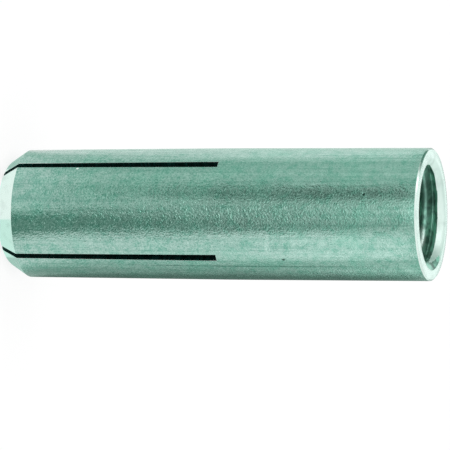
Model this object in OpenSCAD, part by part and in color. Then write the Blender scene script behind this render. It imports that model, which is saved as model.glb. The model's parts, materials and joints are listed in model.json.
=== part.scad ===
// Drop-in anchor: an internally threaded expansion sleeve with a wedge plug held inside it.
// It stands on its slotted nose with the threaded mouth up.
// The origin is the centre of the nose's end face, and +Z runs along the axis to the mouth.
// All sizes are millimetres and degrees.

/* [Sleeve] */
// Overall length from the nose to the mouth
body_len = 40; // [36:1:60]
// Thickness of the barrel's wall outside the thread
wall = 1; // [0.7:0.05:2]
// Bevel round the outer edge of the mouth, at 45 degrees
mouth_bevel = 0.2; // [0.05:0.05:0.4]

/* [Thread] */
// Nominal diameter of the internal thread
thread_d = 10; // [9:0.5:12]
// Pitch of the thread, which sets the tapping bore
thread_pitch = 1.5; // [1:0.25:2]
// Depth of full thread below the mouth
thread_len = 16; // [10:0.5:17]
// Plain bore below the thread, where the tap runs out
thread_runout = 2; // [1.5:0.25:3]
// Width of the countersink at the mouth, at 45 degrees
countersink = 0.6; // [0.2:0.1:0.9]

/* [Nose] */
// Length of the chamfer on the nose
nose_chamfer_len = 1.85; // [0.8:0.05:2.6]
// Slope of the nose chamfer to the axis
nose_chamfer_slope = 33; // [20:1:45]
// Radius that rounds the chamfer into the nose's end face
nose_round = 0.9; // [0.2:0.1:1.2]

/* [Slots] */
// Number of slots that part the nose into leaves
slot_count = 4; // [3:1:6]
// Length of the slots from the nose
slot_len = 21; // [14:0.5:21.5]
// Width of a slot at its closed end, as sawn
slot_w = 0.72; // [0.4:0.02:1.2]
// How far each slot is pinched shut at the nose
slot_pinch = 0.19; // [0:0.01:0.3]

/* [Wedge bore] */
// Width of the shoulder where the tapping bore meets the wedge bore
shoulder = 0.35; // [0.1:0.05:0.7]
// Included angle of the drill point that leaves the shoulder
drill_point = 120; // [90:2:140]
// Diameter of the wedge bore where it leaves the nose
wedge_tip_d = 5.8; // [4.8:0.1:6.6]

/* [Plug] */
// Overall length of the plug
plug_len = 11; // [7:0.5:15]
// How far the plug's struck end lies below the wide end of the wedge bore
plug_sink = 0.3; // [0.1:0.1:3]
// Bevel round both ends of the plug, at 45 degrees
plug_bevel = 0.4; // [0.1:0.05:0.5]
// Gap between the plug and the wedge bore
plug_gap = 0.03; // [0.01:0.01:0.1]

/* [Hidden] */
$fn = 96;

zinc_plate = [0.50, 0.67, 0.61];
plain_steel = [0.55, 0.57, 0.56];

body_r = thread_d / 2 + wall;
bore_r = (thread_d - thread_pitch) / 2;
wedge_wide_r = bore_r - shoulder;
wedge_tip_r = wedge_tip_d / 2;

// Pinching the slots takes their share off the nose's circumference, and so off its radius.
nose_inset = slot_count * slot_pinch / (2 * PI);
nose_r = body_r - nose_inset;
nose_end_r = nose_r - nose_chamfer_len * tan(nose_chamfer_slope);
slot_tip_w = slot_w - slot_pinch;

bore_bottom = body_len - thread_len - thread_runout;
wedge_top = bore_bottom - shoulder / tan(drill_point / 2);

plug_top = wedge_top - plug_sink;
plug_bottom = plug_top - plug_len;

// The round of the nose touches the end face and the chamfer as far from their corner as its reach.
nose_turn = 90 - nose_chamfer_slope;
nose_reach = nose_round * tan(nose_turn / 2);
nose_round_steps = 6;

// How far a saw cut reaches past the face that it starts from
overcut = 1;

// Radius of the plug's flank at a height, which keeps its gap to the wedge bore
function flank_r(z) = wedge_tip_r + (wedge_wide_r - wedge_tip_r) * z / wedge_top - plug_gap;

// Round of the nose, from the end face to the chamfer
function nose_arc() = [
    for (i = [0 : nose_round_steps])
        let (turn = i * nose_turn / nose_round_steps)
        [nose_end_r - nose_reach + nose_round * sin(turn), nose_round * (1 - cos(turn))]
];

// Half section of the sleeve, up the outside and down the bore
function sleeve_section() = [
    [wedge_tip_r, 0],
    each nose_arc(),
    [nose_r, nose_chamfer_len],
    [body_r, slot_len],
    [body_r, body_len - mouth_bevel],
    [body_r - mouth_bevel, body_len],
    [bore_r + countersink, body_len],
    [bore_r, body_len - countersink],
    [bore_r, bore_bottom],
    [wedge_wide_r, wedge_top],
];

// Half section of the plug, from the middle of its lower end to the middle of its struck end
function plug_section() = [
    [0, plug_bottom],
    [flank_r(plug_bottom) - plug_bevel, plug_bottom],
    [flank_r(plug_bottom + plug_bevel), plug_bottom + plug_bevel],
    [flank_r(plug_top - plug_bevel), plug_top - plug_bevel],
    [flank_r(plug_top) - plug_bevel, plug_top],
    [0, plug_top],
];

// One saw cut from the axis outwards, narrower at the nose than at its closed end
module slot_cut() {
    rotate([90, 0, 90])
        linear_extrude(height = body_r + overcut)
            polygon([
                [-slot_tip_w / 2, -overcut],
                [slot_tip_w / 2, -overcut],
                [slot_tip_w / 2, 0],
                [slot_w / 2, slot_len],
                [-slot_w / 2, slot_len],
                [-slot_tip_w / 2, 0],
            ]);
}

// Turned, tapped and slotted sleeve
module anchor_sleeve() {
    color(zinc_plate)
        difference() {
            rotate_extrude()
                polygon(sleeve_section());
            for (i = [0 : slot_count - 1])
                rotate([0, 0, i * 360 / slot_count])
                    slot_cut();
        }
}

// Wedge plug that spreads the leaves when it is driven down
module expander_plug() {
    color(plain_steel)
        rotate_extrude()
            polygon(plug_section());
}

anchor_sleeve();
expander_plug();
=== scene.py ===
"""Looks of a drop-in anchor: a slotted, internally threaded zinc-plated sleeve with a wedge plug inside.

The anchor stands on its nose with the mouth up, in metres. Its axis is +Z.
"""

import json
import math

import bmesh
import bpy
import numpy as np
from bpy.props import FloatProperty, FloatVectorProperty, PointerProperty
from mathutils import Matrix, Vector


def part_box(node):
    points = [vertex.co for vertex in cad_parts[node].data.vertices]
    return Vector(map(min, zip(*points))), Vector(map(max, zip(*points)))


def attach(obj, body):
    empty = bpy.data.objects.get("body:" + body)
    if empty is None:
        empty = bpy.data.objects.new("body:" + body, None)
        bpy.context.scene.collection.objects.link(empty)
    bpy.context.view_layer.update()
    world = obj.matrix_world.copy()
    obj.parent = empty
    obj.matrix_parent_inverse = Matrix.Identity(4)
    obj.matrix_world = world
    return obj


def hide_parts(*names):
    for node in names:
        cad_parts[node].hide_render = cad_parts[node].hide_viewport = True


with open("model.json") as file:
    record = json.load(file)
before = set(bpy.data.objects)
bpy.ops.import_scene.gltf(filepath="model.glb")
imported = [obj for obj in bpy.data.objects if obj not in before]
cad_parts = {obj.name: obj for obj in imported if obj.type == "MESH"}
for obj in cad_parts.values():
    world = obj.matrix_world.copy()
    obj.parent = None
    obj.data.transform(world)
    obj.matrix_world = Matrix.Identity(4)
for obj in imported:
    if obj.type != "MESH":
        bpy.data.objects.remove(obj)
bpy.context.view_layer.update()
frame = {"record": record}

bl_info = {
    "name": "Drop-in anchor",
    "version": (1, 0, 0),
    "blender": (4, 5, 0),
    "location": "3D View > Sidebar > Anchor",
    "description": "Builds a slotted, threaded drop-in anchor and the table that it stands on",
    "category": "Add Mesh",
}

MM = 0.001

# The slots part the nose into four leaves, a quarter turn apart
QUARTERS = 4

# Fineness of the surfaces
LEAF_STEPS = 34
SLOT_STEPS = 4
WALL_STEPS = 8
ARC_STEPS = 4
NOSE_ARC_STEPS = 8
LIP_STEPS = 6
PLUG_STEPS = 96
SLOT_EDGE_STEPS = 2
CARD_ROWS = 9
CARD_COLUMNS = 33
LONGEST_ROW = 1.5 * MM
THREAD_ROW = 0.1 * MM
PLUG_ROW = 0.6 * MM
WELD = 1e-8
SHARP_ANGLE = math.radians(28)

# Turns of rows that the tapped bore has to spare at either end
SPARE_TURNS = 2

# Slopes of the thread's flanks and of the countersink, and the root's share of the thread's pitch
FLANK_SLOPE = math.radians(30)
CONE_SLOPE = math.radians(45)
ROOT_SHARE = 1 / 8

# Roundings of softer edges, as multiples of the turned edges' radius
MOUTH_SOFTNESS = 20
PLUG_SOFTNESS = 2

# Places of the finishes in the sleeve's list of materials
DRAWN, TURNED, TAPPED, SAWN = range(4)


def mount(name):
    """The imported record's mount of that name."""
    return next(m for m in frame["record"]["mounts"] if m["name"] == name)


def length(name, description, default):
    """A size in metres that a user may set."""
    return FloatProperty(
        name=name, description=description, default=default, min=0.0,
        precision=6, unit="LENGTH", subtype="DISTANCE",
    )


def angle(name, description, degrees):
    """An angle that a user may set."""
    return FloatProperty(
        name=name, description=description, default=math.radians(degrees),
        unit="ROTATION", subtype="ANGLE",
    )


def colour(name, description, default):
    """A scene-linear colour that a user may set."""
    return FloatVectorProperty(
        name=name, description=description, default=default, size=3,
        min=0.0, max=1.0, subtype="COLOR",
    )


def factor(name, description, default):
    """A plain number that a user may set."""
    return FloatProperty(name=name, description=description, default=default, min=0.0)


class AnchorSizes(bpy.types.PropertyGroup):
    """Sizes of the sleeve and its plug."""

    body_radius: length("Barrel radius", "Outside radius of the plain barrel",
                        mount("barrel")["dims"]["r_mm"] * MM)
    body_length: length("Length", "Height of the mouth above the nose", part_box("anchor_sleeve")[1].z)
    mouth_bevel: length("Mouth bevel", "Bevel round the outer edge of the mouth", 0.2 * MM)
    mouth_fall: length("Mouth fall", "How far the mouth's face falls away to its bevel", 0.045 * MM)
    mouth_soft: length("Soft edge", "Width of the part of the mouth's face that falls away", 0.38 * MM)
    countersink: length("Countersink", "Width of the countersink at the mouth", 0.6 * MM)
    lip_round: length("Lip rounding", "Radius between the countersink and the mouth's face", 0.8 * MM)
    bore_radius: length("Tapping bore radius", "Radius of the thread's crests",
                        mount("thread")["dims"]["r_mm"] * MM)
    bore_depth: length("Tapping bore depth", "Depth of the tapping bore below the mouth", 18 * MM)
    thread_radius: length("Thread radius", "Radius of the thread's roots", 5 * MM)
    thread_pitch: length("Thread pitch", "Rise of the thread in one turn", 1.5 * MM)
    thread_depth: length("Thread depth", "Depth of the thread's start below the mouth", 16 * MM)
    thread_turn: angle("Thread turn", "Angle from +X at which the thread starts", 180)
    nose_chamfer: length("Nose chamfer", "Length of the chamfer on the nose", 1.85 * MM)
    nose_slope: angle("Nose slope", "Slope of the nose chamfer to the axis", 33)
    slot_length: length("Slot length", "Length of the slots from the nose", 21 * MM)
    slot_width: length("Slot width", "Width of a slot at its closed end", 0.72 * MM)
    slot_pinch: length("Slot pinch", "How far a slot is pinched shut at the nose", 0.19 * MM)
    shoulder: length("Shoulder", "Step between the tapping bore and the wedge bore", 0.35 * MM)
    drill_point: angle("Drill point", "Included angle of the step's cone", 120)
    wedge_tip_radius: length("Wedge tip radius", "Radius of the wedge bore at the nose", 2.9 * MM)
    plug_gap: length("Plug gap", "Gap between the plug and the wedge bore", 0.03 * MM)
    plug_bevel: length("Plug bevel", "Bevel round both ends of the plug", 0.4 * MM)
    edge_round: length("Edge rounding", "Radius of the turned edges", 0.05 * MM)
    crest_round: length("Crest rounding", "Radius of the thread's crests", 0.32 * MM)
    root_round: length("Root rounding", "Radius of the thread's roots", 0.08 * MM)
    nose_round: length("Nose rounding", "Radius of the rounded end of the nose", 0.9 * MM)
    slot_round: length("Slot rounding", "Radius of the sawn edges", 0.03 * MM)


class AnchorColours(bpy.types.PropertyGroup):
    """Colours of the finishes."""

    drawn: colour("Drawn zinc", "Zinc plate on the drawn barrel", (0.225, 0.42, 0.345))
    drawn_green: colour("Green zinc", "Greener patches of the barrel", (0.16, 0.42, 0.315))
    drawn_pale: colour("Pale grain", "Ridges of the barrel's grain", (0.33, 0.55, 0.465))
    drawn_dark: colour("Dark grain", "Hollows of the barrel's grain", (0.075, 0.25, 0.185))
    turned: colour("Turned zinc", "Zinc plate on the turned faces", (0.76, 0.91, 0.85))
    tapped: colour("Tapped zinc", "Thread and bore", (0.31, 0.66, 0.52))
    # The slots' dark colour is partly bare sawn steel and partly painted shade of the narrow slots
    sawn: colour("Sawn slots", "Walls of the slots", (0.008, 0.06, 0.05))
    plug: colour("Plug steel", "Plain steel of the plug", (0.32, 0.35, 0.34))
    table: colour("Table", "Surface that the anchor stands on", (0.9, 0.9, 0.9))


class AnchorStage(bpy.types.PropertyGroup):
    """Camera and light."""

    azimuth: angle("Azimuth", "Turn of the camera round the axis", 48.3)
    elevation: angle("Elevation", "Height of the camera above the horizon", 16.7)
    roll: angle("Roll", "Turn of the picture about the line of sight", 0.2)
    distance: length("Distance", "Depth of the mouth's centre in front of the camera", 378 * MM)
    focal_pixels: factor("Focal length", "Focal length in pixels of the picture", 4200)
    mouth_x: factor("Mouth across", "Picture column of the mouth's centre", 432.6)
    mouth_y: factor("Mouth down", "Picture row of the mouth's centre", 214.5)
    ambient: factor("Ambient", "Strength of the room's light", 0.75)


# Surfaces

def rounded_line(corners, radii, steps=ARC_STEPS):
    """A polyline of (radius, height) points whose inner corners are arcs of the given radii.

    An arc's centre lies on the bisector of its corner, its ends lie on the two sides where they
    touch the arc, and its points turn evenly from one end to the other.
    """
    corners = np.asarray(corners, float)
    pieces = [corners[:1]]
    for before, corner, after, radius in zip(corners, corners[1:], corners[2:], radii):
        back = (before - corner) / np.linalg.norm(before - corner)
        on = (after - corner) / np.linalg.norm(after - corner)
        half = np.arccos(np.clip(back @ on, -1, 1)) / 2
        middle = (back + on) / np.linalg.norm(back + on)
        centre = corner + middle * radius / np.sin(half)
        start = corner + back * radius / np.tan(half) - centre
        end = corner + on * radius / np.tan(half) - centre
        sweep = np.pi - 2 * half
        turn = np.linspace(0, 1, steps + 1)[:, None]
        arc = (np.sin((1 - turn) * sweep) * start + np.sin(turn * sweep) * end) / np.sin(sweep)
        pieces.append(centre + arc)
    pieces.append(corners[-1:])
    return np.concatenate(pieces)


def divided(line, longest=LONGEST_ROW):
    """The polyline with each stretch cut evenly, so that none is longer than longest."""
    counts = np.ceil(np.linalg.norm(np.diff(line, axis=0), axis=1) / longest).astype(int)
    counts = np.maximum(counts, 1)
    cuts = [np.linspace(a, b, n, endpoint=False) for a, b, n in zip(line, line[1:], counts)]
    return np.concatenate([*cuts, line[-1:]])


def polar(radius, turn, height):
    """Points at a radius, an angle about +Z and a height; the three arrays broadcast."""
    radius, turn, height = np.broadcast_arrays(radius, turn, height)
    return np.stack([radius * np.cos(turn), radius * np.sin(turn), height], axis=-1)


def slot_edge(radius, width):
    """Angle between a slot's middle plane and its edge, where half the width is radius times sine."""
    return np.arcsin(width / 2 / radius)


def grid_quads(rows, columns):
    """Corner numbers of the faces of a grid of points."""
    corner = np.arange(rows * columns).reshape(rows, columns)
    quads = [corner[:-1, :-1], corner[:-1, 1:], corner[1:, 1:], corner[1:, :-1]]
    return np.stack(quads, axis=-1).reshape(-1, 4)


def face_means(values):
    """The mean of a grid's values at the corners of each of its faces."""
    return (values[:-1, :-1] + values[:-1, 1:] + values[1:, 1:] + values[1:, :-1]) / 4


class Skin:
    """Grids of points that are joined into one closed mesh."""

    def __init__(self):
        self.points, self.quads, self.finishes, self.count = [], [], [], 0

    def add(self, points, finish):
        """Adds grids of the shape (..., rows, columns, 3).

        finish is one place in the list of materials, or an array of them for a grid's faces.
        """
        rows, columns = points.shape[-3:-1]
        quads = grid_quads(rows, columns)
        finishes = np.broadcast_to(finish, (rows - 1, columns - 1)).ravel()
        for grid in points.reshape(-1, rows * columns, 3):
            self.points.append(grid)
            self.quads.append(quads + self.count)
            self.finishes.append(finishes)
            self.count += len(grid)

    def piece(self, name, materials):
        """A closed, smooth mesh object of all the grids, with their shared edges welded."""
        quads = np.concatenate(self.quads)
        mesh = bpy.data.meshes.new(name)
        mesh.vertices.add(self.count)
        mesh.vertices.foreach_set("co", np.concatenate(self.points).astype(np.float32).ravel())
        mesh.loops.add(quads.size)
        mesh.loops.foreach_set("vertex_index", quads.astype(np.int32).ravel())
        mesh.polygons.add(len(quads))
        mesh.polygons.foreach_set("loop_start", np.arange(0, quads.size, 4, dtype=np.int32))
        mesh.polygons.foreach_set("material_index", np.concatenate(self.finishes).astype(np.int32))
        mesh.update(calc_edges=True)
        weld(mesh)
        for material in materials:
            mesh.materials.append(material)
        mesh.shade_smooth()
        mesh.set_sharp_from_angle(angle=SHARP_ANGLE)
        made = bpy.data.objects.new(name, mesh)
        bpy.context.scene.collection.objects.link(made)
        return made


def weld(mesh):
    """Joins points that coincide and turns the faces outwards. Raises an error if a gap is left."""
    surface = bmesh.new()
    surface.from_mesh(mesh)
    bmesh.ops.remove_doubles(surface, verts=surface.verts, dist=WELD)
    bmesh.ops.recalc_face_normals(surface, faces=surface.faces)
    gaps = sum(1 for edge in surface.edges if not edge.is_manifold)
    surface.to_mesh(mesh)
    surface.free()
    if gaps:
        raise RuntimeError(f"{mesh.name} has {gaps} open edges")


class SleeveForm:
    """Lines and angles that the sleeve's surfaces share."""

    def __init__(self, sizes):
        self.sizes = sizes
        self.bore_bottom = sizes.body_length - sizes.bore_depth
        self.wedge_wide = sizes.bore_radius - sizes.shoulder
        self.wedge_top = self.bore_bottom - sizes.shoulder / math.tan(sizes.drill_point / 2)
        self.slot_tip = sizes.slot_width - sizes.slot_pinch
        self.nose_radius = sizes.body_radius - QUARTERS * sizes.slot_pinch / (2 * math.pi)
        self.nose_end = self.nose_radius - sizes.nose_chamfer * math.tan(sizes.nose_slope)
        self.quarter = np.arange(QUARTERS) * math.pi / 2
        lip = sizes.lip_round
        self.lip_start = sizes.body_length - lip * (1 - math.cos(CONE_SLOPE))
        self.lip_radius = sizes.bore_radius + sizes.countersink + lip * math.tan(CONE_SLOPE / 2)

    def wedge(self, height):
        """Radius of the wedge bore, which widens evenly from the nose to its top."""
        tip = self.sizes.wedge_tip_radius
        return tip + (self.wedge_wide - tip) * height / self.wedge_top

    def slot_at(self, height):
        """Width of a slot, which narrows evenly from its closed end to the nose."""
        return self.slot_tip + self.sizes.slot_pinch * height / self.sizes.slot_length

    def round_columns(self, radius):
        """Angles of a whole turn of columns, which keep to the slots' edges at that radius.

        A quarter turn has half a slot, a leaf and half a slot. A column's angle is a share of the
        slot's edge angle plus a share of the leaf's.
        """
        half = np.arange(SLOT_STEPS) / SLOT_STEPS
        leaf = np.arange(LEAF_STEPS) / LEAF_STEPS
        edge_share = np.concatenate([half, np.ones(LEAF_STEPS), 1 + half])
        leaf_share = np.concatenate([np.zeros(SLOT_STEPS), leaf, np.ones(SLOT_STEPS)])
        start = np.repeat(self.quarter, len(half) * 2 + len(leaf))
        start = np.append(start, 2 * math.pi)
        edge_share = np.append(np.tile(edge_share, QUARTERS), 0)
        leaf_share = np.append(np.tile(leaf_share, QUARTERS), 0)
        edge = slot_edge(np.asarray(radius, float), self.sizes.slot_width)
        return start + edge_share * edge + leaf_share * (math.pi / 2 - 2 * edge)

    def turned(self, line):
        """A line of (radius, height) carried round a whole turn."""
        radius, height = line[:, :1], line[:, 1:]
        return polar(radius, self.round_columns(radius), height)

    def leaves(self, radius, height):
        """A line carried across each leaf, from one slot's edge to the next."""
        edge = slot_edge(radius, self.slot_at(height))[:, None]
        share = np.linspace(0, 1, LEAF_STEPS + 1)
        turn = self.quarter[:, None, None] + edge + share * (math.pi / 2 - 2 * edge)
        return polar(radius[:, None], turn, height[:, None])

    def groove(self):
        """One pitch of the thread's section, as (depth, height) about the middle of its groove.

        The groove has 30 degree flanks and a flat root of an eighth of the pitch, and its corners are
        rounded. The land between two grooves has no depth.
        """
        pitch, depth = self.sizes.thread_pitch, self.sizes.thread_radius - self.sizes.bore_radius
        root = pitch * ROOT_SHARE / 2
        crest = root + depth * math.tan(FLANK_SLOPE)
        corners = [
            (0, -pitch / 2), (0, -crest), (depth, -root),
            (depth, root), (0, crest), (0, pitch / 2),
        ]
        crest_round, root_round = self.sizes.crest_round, self.sizes.root_round
        rounds = [crest_round, root_round, root_round, crest_round]
        return divided(rounded_line(corners, rounds), THREAD_ROW)

    def lip(self, height):
        """Radius of the countersink: a 45 degree cone that an arc carries on into the mouth's face.

        The arc's centre lies its radius below the face, where the face begins. So its distance in from
        there is the radius times the sine of the angle whose cosine the height gives.
        """
        sizes = self.sizes
        cone = sizes.bore_radius + np.clip(height - sizes.body_length + sizes.countersink, 0, None)
        level = np.clip(1 - (sizes.body_length - height) / sizes.lip_round, 0, 1)
        arc = self.lip_radius - sizes.lip_round * np.sqrt(1 - level ** 2)
        return np.where(height > self.lip_start, arc, cone)

    def tapped_depths(self, turn, height):
        """Depths of the groove and of the countersink in the bore's wall, at an angle and a height.

        The groove's middle climbs one pitch in a turn, and its depth grows evenly over the first pitch.
        """
        sizes = self.sizes
        pitch = sizes.thread_pitch
        start = sizes.body_length - sizes.thread_depth
        middle = start + pitch * (turn - sizes.thread_turn) / (2 * math.pi)
        offset = (height - middle + pitch / 2) % pitch - pitch / 2
        depth, rise = self.groove().T
        share = np.clip((height - start) / pitch, 0, 1)
        return share * np.interp(offset, rise, depth), self.lip(height) - sizes.bore_radius

    def tapped_bore(self, bottom):
        """The countersink and the tapped bore as one helical sheet, and its finishes.

        Each row follows the thread, so it climbs one pitch in a turn and ends on the row one pitch
        above. Rows beyond the lip or the bottom are held there, and the row nearest to the
        countersink's lower edge is laid on it. Level rows then climb the lip by even angles of its
        arc. The sheet lies at the greater of the two depths.
        """
        sizes = self.sizes
        pitch, top = sizes.thread_pitch, sizes.body_length
        rise = self.groove()[:-1, 1]
        turns = np.arange(-SPARE_TURNS, math.ceil((top - bottom) / pitch) + SPARE_TURNS)
        turn = self.round_columns(sizes.bore_radius)
        start = top - sizes.thread_depth - pitch * sizes.thread_turn / (2 * math.pi)
        height = start + (turns[:, None] * pitch + rise).ravel()[:, None] + pitch * turn / (2 * math.pi)
        edge = top - sizes.countersink
        nearest = np.abs(height - edge).argmin(axis=0)
        height[nearest, np.arange(len(turn))] = edge
        height = np.clip(height, bottom, self.lip_start)
        arc = np.linspace(CONE_SLOPE, 0, LIP_STEPS + 1)[1:, None]
        level = top - sizes.lip_round * (1 - np.cos(arc))
        height = np.concatenate([height, np.broadcast_to(level, (LIP_STEPS, len(turn)))])
        groove, cone = self.tapped_depths(turn, height)
        sheet = polar(sizes.bore_radius + np.maximum(groove, cone), turn, height)
        on_cone = face_means(cone - groove) > 0
        on_cone &= face_means(height) > edge
        return sheet, np.where(on_cone, TURNED, TAPPED)


def sleeve_skin(sizes):
    """The sleeve's surfaces: barrel and mouth, tapped bore, leaves, and the walls of the slots."""
    form = SleeveForm(sizes)
    skin = Skin()
    edge = sizes.edge_round

    # The barrel from the slots' closed ends, over the mouth's bevel, and the mouth's face up to the bore
    top = sizes.body_length
    outside = rounded_line(
        [
            (sizes.body_radius, sizes.slot_length),
            (sizes.body_radius, top - sizes.mouth_bevel),
            (sizes.body_radius - sizes.mouth_bevel + sizes.mouth_fall, top - sizes.mouth_fall),
            (sizes.body_radius - sizes.mouth_bevel - sizes.mouth_soft, top),
            (form.lip_radius + edge, top),
        ],
        [edge, edge, MOUTH_SOFTNESS * edge],
    )
    outside = divided(outside)
    on_barrel = outside[:-1, 1] + outside[1:, 1] < 2 * (top - sizes.mouth_bevel)
    skin.add(form.turned(outside), np.where(on_barrel, DRAWN, TURNED)[:, None])
    turn = form.round_columns(sizes.bore_radius)
    rim = sizes.bore_radius + np.maximum(*form.tapped_depths(turn, np.full_like(turn, top)))
    skin.add(np.concatenate([form.turned(outside[-1:]), polar(rim, turn, top)[None]]), TURNED)

    # The tapped bore, the plain bore below it, the shoulder and the unslotted end of the wedge bore
    thread_end = (form.bore_bottom + top - sizes.thread_depth) / 2
    skin.add(*form.tapped_bore(thread_end))
    inside = np.array([
        (sizes.bore_radius, thread_end),
        (sizes.bore_radius, form.bore_bottom),
        (form.wedge_wide, form.wedge_top),
        (form.wedge(sizes.slot_length), sizes.slot_length),
    ])
    skin.add(form.turned(divided(inside)), TAPPED)

    # The leaves: outside, chamfered nose, end face and wedge bore
    nose = rounded_line(
        [
            (sizes.body_radius, sizes.slot_length),
            (form.nose_radius, sizes.nose_chamfer),
            (form.nose_end, 0),
            (sizes.wedge_tip_radius, 0),
        ],
        [edge, sizes.nose_round],
        NOSE_ARC_STEPS,
    )[:-1]
    nose = divided(nose)
    radius, height = nose.T
    on_chamfer = height[:-1] + height[1:] < 2 * sizes.nose_chamfer
    skin.add(form.leaves(radius, height), np.where(on_chamfer, TURNED, DRAWN)[:, None])
    across = np.linspace(0, 1, WALL_STEPS + 1)
    end = radius[-1] + across * (sizes.wedge_tip_radius - radius[-1])
    skin.add(form.leaves(end, np.zeros_like(end)), TURNED)
    wedge = form.wedge(height)
    skin.add(form.leaves(wedge, height), TAPPED)

    # The slots' walls on both sides, and their closed ends
    wall = radius[:, None] + across * (wedge - radius)[:, None]
    lean = slot_edge(wall, form.slot_at(height)[:, None])
    sides = np.array([1, -1])[:, None, None, None]
    skin.add(polar(wall, form.quarter[:, None, None] + sides * lean, height[:, None]), SAWN)
    share = np.linspace(-1, 1, 2 * SLOT_STEPS + 1)
    root = wall[0][:, None]
    turn = form.quarter[:, None, None] + share * slot_edge(root, sizes.slot_width)
    skin.add(polar(root, turn, sizes.slot_length), SAWN)
    return skin


def weigh_slot_edges(mesh):
    """Gives the edges between a slot's wall and the outside a bevel weight of 1."""
    ends = np.empty(len(mesh.loops), np.int32)
    mesh.loops.foreach_get("edge_index", ends)
    sides = np.empty(len(mesh.polygons), np.int32)
    mesh.polygons.foreach_get("loop_total", sides)
    finish = np.empty(len(mesh.polygons), np.int32)
    mesh.polygons.foreach_get("material_index", finish)
    finish = np.repeat(finish, sides)
    least = np.full(len(mesh.edges), SAWN)
    most = np.full(len(mesh.edges), DRAWN)
    np.minimum.at(least, ends, finish)
    np.maximum.at(most, ends, finish)
    outer = (most == SAWN) & (least <= TURNED)
    weight = mesh.attributes.new("bevel_weight_edge", "FLOAT", "EDGE")
    weight.data.foreach_set("value", outer.astype(np.float32))


def plug_skin(sizes):
    """The plug: a line carried round the axis, with flat ends and a flank along the wedge bore."""
    form = SleeveForm(sizes)
    low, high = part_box("expander_plug")
    bevel, gap = sizes.plug_bevel, sizes.plug_gap
    line = rounded_line(
        [
            (0, low.z),
            (form.wedge(low.z) - gap - bevel, low.z),
            (form.wedge(low.z + bevel) - gap, low.z + bevel),
            (form.wedge(high.z - bevel) - gap, high.z - bevel),
            (form.wedge(high.z) - gap - bevel, high.z),
            (0, high.z),
        ],
        [PLUG_SOFTNESS * sizes.edge_round] * 4,
    )
    line = divided(line, PLUG_ROW)
    turn = np.linspace(0, 2 * math.pi, PLUG_STEPS + 1)
    skin = Skin()
    skin.add(polar(line[:, :1], turn, line[:, 1:]), 0)
    return skin


# Materials

# Spacing of the rings that the lathe leaves, in millimetres
MOUTH_RINGS = 0.09
PLUG_RINGS = 0.14

# Tints of the metal's gloss
DRAWN_GLOSS = (0.92, 1.0, 0.97, 1.0)
TURNED_GLOSS = (0.85, 1.0, 0.95, 1.0)

# Marks: angle from +X in degrees, distance from the axis and height, and half widths across and along
# the axis, in millimetres
SCORE = (10.6, (6.0, 24.0), 0.06, 15.5)
PIT = (-58.6, (6.0, 35.1), 0.2, 0.2)
SPECK = (1.7, (6.0, 27.3), 0.13, 0.2)
SCUFF = (-14.0, (6.0, 26.0), 1.3, 0.3)
NICK = (-85.4, (5.95, 7.7), 0.1, 0.16)
# Painted shade over one side of the bore's thread, darkening its reflection there
PAINTED_BORE_SHADE = (170.0, (4.35, 38.2), 2.6, 1.0)
# A painted glint on the thread just inside the mouth
PAINTED_BORE_GLINT = (108.0, (4.35, 38.0), 1.4, 0.45)


def rgba(colour):
    """The colour with a full alpha."""
    return (*colour, 1.0)


def shaded(colour, share):
    """The colour times a share, with a full alpha."""
    return rgba(share * part for part in colour)


class Nodes:
    """The nodes of a material or a world, and short ways to add to them."""

    def __init__(self, owner):
        owner.use_nodes = True
        self.tree = owner.node_tree

    def node(self, kind, inputs=None, **settings):
        """A node with its settings and inputs, where an input is a value or another node's socket."""
        made = self.tree.nodes.new(kind)
        for name, value in settings.items():
            setattr(made, name, value)
        for key, value in (inputs or {}).items():
            self.join(value, made.inputs[key])
        return made

    def join(self, value, socket):
        """Links a socket or sets a value."""
        if isinstance(value, bpy.types.NodeSocket):
            self.tree.links.new(value, socket)
        else:
            socket.default_value = value

    def object_place(self):
        """Object coordinates, in metres."""
        return self.node("ShaderNodeTexCoord").outputs["Object"]

    def math(self, operation, *values):
        """A calculation on numbers or sockets."""
        return self.node("ShaderNodeMath", dict(enumerate(values)), operation=operation).outputs[0]

    def norm(self, vector):
        """Length of a vector."""
        return self.node("ShaderNodeVectorMath", {0: vector}, operation="LENGTH").outputs["Value"]

    def span(self, value, low, high, to_low=0.0, to_high=1.0):
        """The value's stretch from low to high, carried to another stretch and held at its ends."""
        inputs = {"Value": value, "From Min": low, "From Max": high, "To Min": to_low, "To Max": to_high}
        return self.node("ShaderNodeMapRange", inputs, clamp=True).outputs["Result"]

    def surface(self, shader):
        """Puts a shader in the place of the one that a new material has."""
        self.tree.nodes.remove(self.tree.nodes["Principled BSDF"])
        self.join(shader.outputs[0], self.tree.nodes["Material Output"].inputs["Surface"])


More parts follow.
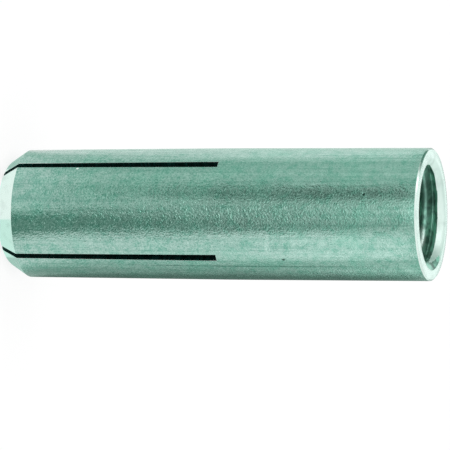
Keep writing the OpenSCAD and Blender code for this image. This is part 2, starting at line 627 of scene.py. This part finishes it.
class Finish(Nodes):
    """A metal's Principled material."""

    def __init__(self, name, metallic=1.0):
        self.material = bpy.data.materials.new(name)
        super().__init__(self.material)
        self.shader = self.tree.nodes["Principled BSDF"]
        self.join(metallic, self.shader.inputs["Metallic"])
        self.place = self.object_place()

    def scaled(self, across, along):
        """Object coordinates as counts of features per millimetre, across and along the axis."""
        scale = (across / MM, across / MM, along / MM)
        return self.node("ShaderNodeMapping", {"Vector": self.place, "Scale": scale}).outputs[0]

    def noise(self, across, along=None, detail=2.0, roughness=0.5):
        """Noise from about 0.25 to 0.75 with so many features per millimetre."""
        vector = self.scaled(across, across if along is None else along)
        inputs = {"Vector": vector, "Scale": 1.0, "Detail": detail, "Roughness": roughness}
        return self.node("ShaderNodeTexNoise", inputs).outputs["Fac"]

    def radius(self):
        """Distance from the axis, in millimetres."""
        return self.norm(self.scaled(1, 0))

    def height(self):
        """Height above the nose, in millimetres."""
        upright = self.node("ShaderNodeSeparateXYZ", {"Vector": self.place})
        return self.math("DIVIDE", upright.outputs["Z"], MM)

    def rings(self, spacing):
        """Rings about the axis: the sine of the distance from it, in turns of the spacing."""
        return self.math("SINE", self.math("MULTIPLY", self.radius(), 2 * math.pi / spacing))

    def mark(self, turn, place, across, along):
        """1 at a place on the metal, and 0 beyond an oval about it.

        turn is the place's angle in degrees, place its distance from the axis and its height, and
        across and along are the oval's half widths. All lengths are in millimetres.
        """
        radius, height = place
        turn = math.radians(turn)
        inputs = {
            "Vector": self.place,
            "Location": (radius * math.cos(turn) * MM, radius * math.sin(turn) * MM, height * MM),
            "Rotation": (0, 0, turn),
            "Scale": (MM, across * MM, along * MM),
        }
        oval = self.node("ShaderNodeMapping", inputs, vector_type="TEXTURE").outputs[0]
        return self.span(self.norm(oval), 1.0, 0.5)

    def layers(self, tone, *over):
        """The colour with others laid over it in order, each given by its share and itself."""
        for share, colour in over:
            inputs = {"Fac": share, "Color1": tone, "Color2": colour}
            tone = self.node("ShaderNodeMixRGB", inputs).outputs["Color"]
        return tone

    def bump(self, height, depth, normal=None):
        """Relief of a depth in millimetres."""
        inputs = {"Height": height, "Distance": depth * MM, "Strength": 1.0}
        if normal is not None:
            inputs["Normal"] = normal
        return self.node("ShaderNodeBump", inputs).outputs["Normal"]

    def finish(self, colour, roughness, normal, gloss=None):
        """Wires the shader and gives the material."""
        self.join(colour, self.shader.inputs["Base Color"])
        self.join(roughness, self.shader.inputs["Roughness"])
        self.join(normal, self.shader.inputs["Normal"])
        if gloss is not None:
            self.join(gloss, self.shader.inputs["Specular Tint"])
        return self.material


def drawn_zinc(colours):
    """Satin zinc on a drawn barrel: sandy grain, lines along the axis, greener clouds and marks."""
    look = Finish("drawn_zinc")
    clouds = look.noise(0.45, detail=3.0)
    patches = look.noise(1.5)
    grain = look.noise(6.2, detail=1.5, roughness=0.6)
    streaks = look.noise(1.4, along=0.06)
    lines = look.noise(4.0, along=0.08)
    pits = look.noise(3.2, detail=0.0)
    green, pale = rgba(colours.drawn_green), rgba(colours.drawn_pale)
    dark, deep = rgba(colours.drawn_dark), shaded(colours.drawn_dark, 0.2)

    # Clouds and patches, grain that weakens towards the mouth, drawing lines and small pits
    coarse = look.span(look.height(), 18.0, 32.0, 1.05, 0.68)
    tone = look.layers(
        rgba(colours.drawn),
        (look.span(clouds, 0.48, 0.66, 0.0, 0.6), green),
        (look.span(patches, 0.5, 0.72, 0.0, 0.7), green),
        (look.span(patches, 0.53, 0.74, 0.0, 0.42), dark),
        (look.span(patches, 0.47, 0.27, 0.0, 0.38), pale),
        (look.math("MULTIPLY", coarse, look.span(grain, 0.5, 0.28, 0.0, 0.7)), dark),
        (look.math("MULTIPLY", coarse, look.span(grain, 0.52, 0.74, 0.0, 0.75)), pale),
        (look.span(lines, 0.48, 0.3, 0.0, 0.35), dark),
        (look.span(streaks, 0.48, 0.3, 0.0, 0.3), dark),
        (look.span(streaks, 0.54, 0.72, 0.0, 0.3), pale),
        (look.span(pits, 0.19, 0.16, 0.0, 0.6), dark),
    )

    # A long score beside the lower slot, a dark pit and speck, a pale scuff and a bright nick
    score, pit, speck, scuff, nick = (look.mark(*m) for m in (SCORE, PIT, SPECK, SCUFF, NICK))
    hollows = look.math("MAXIMUM", pit, speck)
    tone = look.layers(
        tone,
        (look.math("MULTIPLY", score, look.span(grain, 0.3, 0.6, 0.95, 0.7)), dark),
        (look.math("MULTIPLY", hollows, 0.9), deep),
        (look.math("MULTIPLY", scuff, look.span(grain, 0.3, 0.7, 0.1, 0.8)), pale),
        (nick, rgba(colours.turned)),
    )

    satin = look.span(clouds, 0.3, 0.7, 0.2, 0.26)
    rough = look.math("ADD", satin, look.span(grain, 0.3, 0.7, -0.03, 0.05))
    relief = look.math("MULTIPLY", coarse, look.span(patches, 0.3, 0.7, 0.7, 1.2))
    normal = look.bump(lines, 0.005)
    normal = look.bump(look.math("MAXIMUM", score, hollows), -0.03, normal)
    normal = look.bump(look.math("MULTIPLY", grain, relief), 0.034, normal)
    return look.finish(tone, rough, normal, DRAWN_GLOSS)


def turned_zinc(colours):
    """Bright zinc on turned faces: rings left by the tool and faint clouds, duller in the countersink."""
    look = Finish("turned_zinc")
    clouds = look.noise(0.8, detail=3.0)
    shade = shaded(colours.turned, 0.82)
    tone = look.layers(rgba(colours.turned), (look.span(clouds, 0.5, 0.75), shade))
    at_mouth = look.span(look.height(), 20.0, 30.0)
    sunk = look.math("MULTIPLY", at_mouth, look.span(look.radius(), 5.15, 4.95))
    rough = look.math("MULTIPLY_ADD", sunk, 0.24, look.span(clouds, 0.3, 0.7, 0.2, 0.3))
    normal = look.bump(look.rings(MOUTH_RINGS), 0.0012)
    normal = look.bump(look.noise(4.0), 0.004, normal)
    return look.finish(tone, rough, normal, TURNED_GLOSS)


def tapped_zinc(colours):
    """Thin zinc in the thread and bore, blotched, with drag marks, a patch of painted shade and a painted
    glint.
    """
    look = Finish("tapped_zinc", metallic=0.7)
    marks = look.noise(0.5, along=7.0, detail=3.0)
    clouds = look.noise(1.1, detail=3.0)
    shade = shaded(colours.tapped, 0.35)
    tone = look.layers(
        rgba(colours.tapped),
        (look.span(clouds, 0.42, 0.62), shade),
        # Painted shade over one side of the bore's thread
        (look.math("MULTIPLY", look.mark(*PAINTED_BORE_SHADE), 0.7), shade),
        # A painted glint on the thread just inside the mouth
        (look.math("MULTIPLY", look.mark(*PAINTED_BORE_GLINT), 0.8), rgba(colours.turned)),
    )
    return look.finish(tone, look.span(marks, 0.3, 0.7, 0.3, 0.45), look.bump(marks, 0.01))


def sawn_zinc_and_shade(colours):
    """Walls of the saw cuts, dull, with saw marks across the slot, dark partly as bare steel and partly
    as painted shade.
    """
    look = Finish("sawn_zinc_and_shade")
    marks = look.noise(0.6, along=6.0)
    tone = look.layers(rgba(colours.sawn), (look.span(marks, 0.5, 0.8), shaded(colours.sawn, 2.2)))
    return look.finish(tone, look.span(marks, 0.3, 0.7, 0.5, 0.65), look.bump(marks, 0.015))


def plug_steel(colours):
    """Plain turned steel, lightly oiled, with rings on its ends and flank."""
    look = Finish("plug_steel")
    clouds = look.noise(0.7, detail=3.0)
    tone = look.layers(rgba(colours.plug), (look.span(clouds, 0.35, 0.7), shaded(colours.plug, 0.6)))
    normal = look.bump(look.rings(PLUG_RINGS), 0.003)
    normal = look.bump(look.noise(0.6, along=9.0), 0.006, normal)
    return look.finish(tone, look.span(clouds, 0.3, 0.7, 0.24, 0.4), normal)


# Stage

# The photo's width and height in pixels, the camera's sensor in millimetres and its clipping distances
PICTURE = 450
SENSOR = 36.0
CLIP = (0.01, 10.0)

# Half the table's width, and the share of plain white that the eye sees in it
TABLE_REACH = 3.0
EYE_WHITE = 0.8

# Tints of the light
WHITE = (1.0, 1.0, 1.0)
PEARL = (1.08, 1.0, 1.03)
ROSE = (1.2, 1.0, 1.065)
SHADE = (0.8, 1.0, 0.94)
TEAL = (0.35, 1.0, 0.75)

# Cards on the table: distances from the axis where they begin and end, and their height
HUB, TIP, FOOT, NEAR, MIDDLE, WIDE, FAR = (reach * MM for reach in (0.5, 6.8, 7, 22, 62, 115, 190))
CARD_LIFT = 0.05 * MM

# Name, angles of the ends from the camera's side in degrees, distances, strengths of light there, tint
TABLE_CARDS = (
    ("near_panel", (-32, -84), (FOOT, MIDDLE), (1.32, 1.32), ROSE),
    ("far_panel", (-32, -84), (MIDDLE, FAR), (1.08, 2.45), ROSE),
    ("side_card", (-98, -126), (FOOT, WIDE), (0.66, 0.66), WHITE),
    ("far_side_card", (-98, -126), (WIDE, FAR), (0.5, 2.5), WHITE),
    ("low_card", (-126, -178), (FOOT, WIDE), (0.24, 0.24), SHADE),
    ("far_low_card", (-126, -178), (WIDE, FAR), (0.16, 0.5), SHADE),
    ("top_panel", (116, 142), (FOOT, FAR), (1.2, 1.7), ROSE),
    ("back_panel", (142, 178), (FOOT, FAR), (1.1, 1.1), WHITE),
    ("far_top_card", (50, 115), (WIDE, FAR), (0.95, 1.5), WHITE),
    ("far_dark_card", (25, 48), (MIDDLE, FAR), (0.24, 0.1), SHADE),
    ("far_middle_card", (-8, 25), (MIDDLE, FAR), (0.27, 1.72), WHITE),
    ("far_grey_card", (-8, -32), (MIDDLE, FAR), (0.08, 1.42), WHITE),
    ("near_grey_card", (31, 47), (NEAR, MIDDLE), (0.85, 0.85), SHADE),
    ("near_dark_card", (6, -34), (NEAR, MIDDLE), (0.43, 0.43), SHADE),
    ("foot_panel", (8, 96), (FOOT, NEAR), (1.25, 1.25), ROSE),
    ("foot_dark_card", (0, -34), (FOOT, NEAR), (0.5, 0.5), SHADE),
    ("nose_card", (60, 300), (HUB, TIP), (0.6, 0.6), SHADE),
    ("nose_low_card", (-7, -60), (HUB, TIP), (0.9, 0.9), SHADE),
)

# Upright cards: distances of their lower and upper edges from the axis
WALL = (0.3, 0.301)

# Name, angles of the ends from the camera's side in degrees, heights of the edges, strength, tint
WALL_CARDS = (
    ("rim_card", (106, 152), (0.1, 0.38), 0.2, TEAL),
    ("lip_card", (153, 172), (0.195, 0.32), 0.55, TEAL),
    ("back_card", (155, 205), (0.085, 0.19), 1.12, PEARL),
    ("horizon_card", (105, 255), (0.001, 0.077), 0.52, WHITE),
    ("bore_card", (-122, -168), (0.33, 1.1), 0.5, SHADE),
)


def white_room(ambient):
    """A world that is white to the eye and to metal and glass, and lights the rest softly."""
    world = bpy.data.worlds.new("white_room")
    room = Nodes(world)
    path = room.node("ShaderNodeLightPath").outputs
    seen = room.math("MAXIMUM", path["Is Camera Ray"], path["Is Glossy Ray"])
    seen = room.math("MAXIMUM", seen, path["Is Transmission Ray"])
    plain = room.tree.nodes["Background"]
    room.join(rgba(WHITE), plain.inputs["Color"])
    room.join(room.span(seen, 0.0, 1.0, ambient, 1.0), plain.inputs["Strength"])
    bpy.context.scene.world = world


def table_material(colour):
    """A matt pale table that keeps a soft shadow to the eye and is plain white to metal."""
    material = bpy.data.materials.new("pale_table")
    table = Nodes(material)
    path = table.node("ShaderNodeLightPath").outputs
    share = table.math("MULTIPLY_ADD", path["Is Camera Ray"], EYE_WHITE, path["Is Glossy Ray"])
    matt = table.node("ShaderNodeBsdfDiffuse", {"Color": rgba(colour)}).outputs[0]
    white = table.node("ShaderNodeEmission").outputs[0]
    table.surface(table.node("ShaderNodeMixShader", {0: share, 1: matt, 2: white}))
    return material


def glow_material(name, strengths, tint, reach):
    """A card's light, which runs evenly between its strengths at two distances from the axis."""
    material = bpy.data.materials.new(name)
    card = Nodes(material)
    flat = {0: card.object_place(), 1: (1, 1, 0)}
    out = card.norm(card.node("ShaderNodeVectorMath", flat, operation="MULTIPLY").outputs["Vector"])
    inputs = {"Color": rgba(tint), "Strength": card.span(out, *reach, *strengths)}
    card.surface(card.node("ShaderNodeEmission", inputs))
    return material


def flat_sheet(name, points, material):
    """A stage object from one grid of points."""
    rows, columns = points.shape[:2]
    mesh = bpy.data.meshes.new(name)
    mesh.from_pydata(points.reshape(-1, 3), [], grid_quads(rows, columns))
    mesh.materials.append(material)
    made = bpy.data.objects.new(name, mesh)
    bpy.context.scene.collection.objects.link(made)
    return made


def curved_card(name, facing, span, out, height, strengths, tint):
    """A card that only the metal reflects, curved about the axis.

    span holds the angles of its ends from the camera's side. out, height and strengths are the
    distances from the axis, the heights and the strengths of light of its two long edges. Points
    between the edges lie at even shares of their distances and heights.
    """
    turn = facing - np.radians(np.linspace(*span, CARD_COLUMNS))
    distance = np.linspace(*out, CARD_ROWS)[:, None]
    level = np.linspace(*height, CARD_ROWS)[:, None]
    card = flat_sheet(name, polar(distance, turn, level), glow_material(name, strengths, tint, out))
    card.visible_camera = False
    card.visible_diffuse = False
    card.visible_shadow = False


def softbox(name, place, aim, size, radiance, tint=WHITE, mirrored=True):
    """A square area lamp, hidden from the camera, that shows in the metal if it is mirrored.

    It faces the axis at the height aim. Its energy is its radiance times the square of pi times half
    its width.
    """
    lamp = bpy.data.lights.new(name, "AREA")
    lamp.color = tint
    lamp.shape = "SQUARE"
    lamp.size = size
    lamp.energy = radiance * (math.pi * size / 2) ** 2
    made = bpy.data.objects.new(name, lamp)
    made.location = place
    made.rotation_euler = (Vector((0, 0, aim)) - Vector(place)).to_track_quat("-Z", "Y").to_euler()
    made.visible_camera = False
    made.visible_glossy = mirrored
    bpy.context.scene.collection.objects.link(made)


def ring(facing, degrees, out, height):
    """A place at an angle from the camera's side, a distance from the axis and a height."""
    turn = facing - math.radians(degrees)
    return (out * math.cos(turn), out * math.sin(turn), height)


def camera_side(stage):
    """Angle about +Z of the side that the camera is on."""
    return stage.azimuth - math.pi / 2


def aim_camera(stage, mouth_height):
    """A camera that puts the mouth's centre at its place in the picture, with the axis across it."""
    facing = camera_side(stage)
    level = Vector((math.cos(facing), math.sin(facing), 0))
    axis = Vector((0, 0, 1))
    forward = -math.cos(stage.elevation) * level - math.sin(stage.elevation) * axis
    right = math.cos(stage.elevation) * axis - math.sin(stage.elevation) * level
    up = right.cross(forward)
    right, up = (
        math.cos(stage.roll) * right + math.sin(stage.roll) * up,
        math.cos(stage.roll) * up - math.sin(stage.roll) * right,
    )
    per_pixel = stage.distance / stage.focal_pixels
    across = (stage.mouth_x - PICTURE / 2) * per_pixel
    rise = (PICTURE / 2 - stage.mouth_y) * per_pixel
    place = axis * mouth_height - right * across - forward * stage.distance - up * rise
    data = bpy.data.cameras.new("camera")
    data.sensor_width = SENSOR
    data.lens = stage.focal_pixels * SENSOR / PICTURE
    data.clip_start, data.clip_end = CLIP
    camera = bpy.data.objects.new("camera", data)
    turn = Matrix((right, up, -forward)).transposed()
    camera.matrix_world = Matrix.Translation(place) @ turn.to_4x4()
    bpy.context.scene.collection.objects.link(camera)
    bpy.context.scene.camera = camera


# Steps, panel and registration

class ANCHOR_OT_build_sleeve(bpy.types.Operator):
    """Builds the slotted and threaded sleeve"""

    bl_idname = "anchor.build_sleeve"
    bl_label = "Build Sleeve"

    def execute(self, context):
        sizes, colours = context.scene.anchor_sizes, context.scene.anchor_colours
        finishes = [drawn_zinc(colours), turned_zinc(colours), tapped_zinc(colours), sawn_zinc_and_shade(colours)]
        sleeve = sleeve_skin(sizes).piece("sleeve", finishes)

        # The sawn edges are softened and worn bright
        weigh_slot_edges(sleeve.data)
        bevel = sleeve.modifiers.new("slot_edges", "BEVEL")
        bevel.limit_method = "WEIGHT"
        bevel.width = sizes.slot_round
        bevel.segments = SLOT_EDGE_STEPS
        bevel.material = TURNED

        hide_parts("anchor_sleeve")
        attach(sleeve, "root")
        return {"FINISHED"}


class ANCHOR_OT_build_plug(bpy.types.Operator):
    """Builds the wedge plug inside the sleeve"""

    bl_idname = "anchor.build_plug"
    bl_label = "Build Plug"

    def execute(self, context):
        scene = context.scene
        plug = plug_skin(scene.anchor_sizes).piece("wedge_plug", [plug_steel(scene.anchor_colours)])
        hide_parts("expander_plug")
        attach(plug, "root")
        return {"FINISHED"}


class ANCHOR_OT_build_stage(bpy.types.Operator):
    """Builds the table, the lights and the camera"""

    bl_idname = "anchor.build_stage"
    bl_label = "Build Stage"

    def execute(self, context):
        scene = context.scene
        stage = scene.anchor_stage
        corners = np.linspace(-TABLE_REACH, TABLE_REACH, 2)
        table = np.stack(np.broadcast_arrays(corners[:, None], corners, 0.0), axis=-1)
        flat_sheet("table", table, table_material(scene.anchor_colours.table))
        white_room(stage.ambient)
        facing = camera_side(stage)
        above = ring(facing, degrees=0, out=0.0, height=0.5)
        beside = ring(facing, degrees=85, out=0.28, height=0.45)
        before = ring(facing, degrees=3, out=0.5, height=0.13)
        softbox("overhead", above, aim=0.0, size=0.8, radiance=1.3, mirrored=False)
        softbox("key", beside, aim=0.04, size=0.15, radiance=1.6)
        softbox("front", before, aim=0.02, size=0.25, radiance=2.8, tint=ROSE)
        for name, span, reach, strengths, tint in TABLE_CARDS:
            curved_card(name, facing, span, reach, (CARD_LIFT, CARD_LIFT), strengths, tint)
        for name, span, heights, strength, tint in WALL_CARDS:
            curved_card(name, facing, span, WALL, heights, (strength, strength), tint)
        aim_camera(stage, scene.anchor_sizes.body_length)
        scene.view_settings.view_transform = "Standard"
        return {"FINISHED"}


class VIEW3D_PT_anchor(bpy.types.Panel):
    """Sizes, colours and steps of the anchor"""

    bl_label = "Drop-in Anchor"
    bl_space_type = "VIEW_3D"
    bl_region_type = "UI"
    bl_category = "Anchor"

    def draw(self, context):
        for step in (ANCHOR_OT_build_sleeve, ANCHOR_OT_build_plug, ANCHOR_OT_build_stage):
            self.layout.operator(step.bl_idname)
        for group in ("anchor_sizes", "anchor_colours", "anchor_stage"):
            values = getattr(context.scene, group)
            column = self.layout.column(align=True)
            for name in values.__annotations__:
                column.prop(values, name)


CLASSES = (
    AnchorSizes,
    AnchorColours,
    AnchorStage,
    ANCHOR_OT_build_sleeve,
    ANCHOR_OT_build_plug,
    ANCHOR_OT_build_stage,
    VIEW3D_PT_anchor,
)


def register():
    for each in CLASSES:
        bpy.utils.register_class(each)
    bpy.types.Scene.anchor_sizes = PointerProperty(type=AnchorSizes)
    bpy.types.Scene.anchor_colours = PointerProperty(type=AnchorColours)
    bpy.types.Scene.anchor_stage = PointerProperty(type=AnchorStage)


def unregister():
    del bpy.types.Scene.anchor_stage
    del bpy.types.Scene.anchor_colours
    del bpy.types.Scene.anchor_sizes
    for each in reversed(CLASSES):
        bpy.utils.unregister_class(each)


def main():
    register()
    bpy.ops.anchor.build_sleeve()
    bpy.ops.anchor.build_plug()
    bpy.ops.anchor.build_stage()


if __name__ == "__main__":
    main()
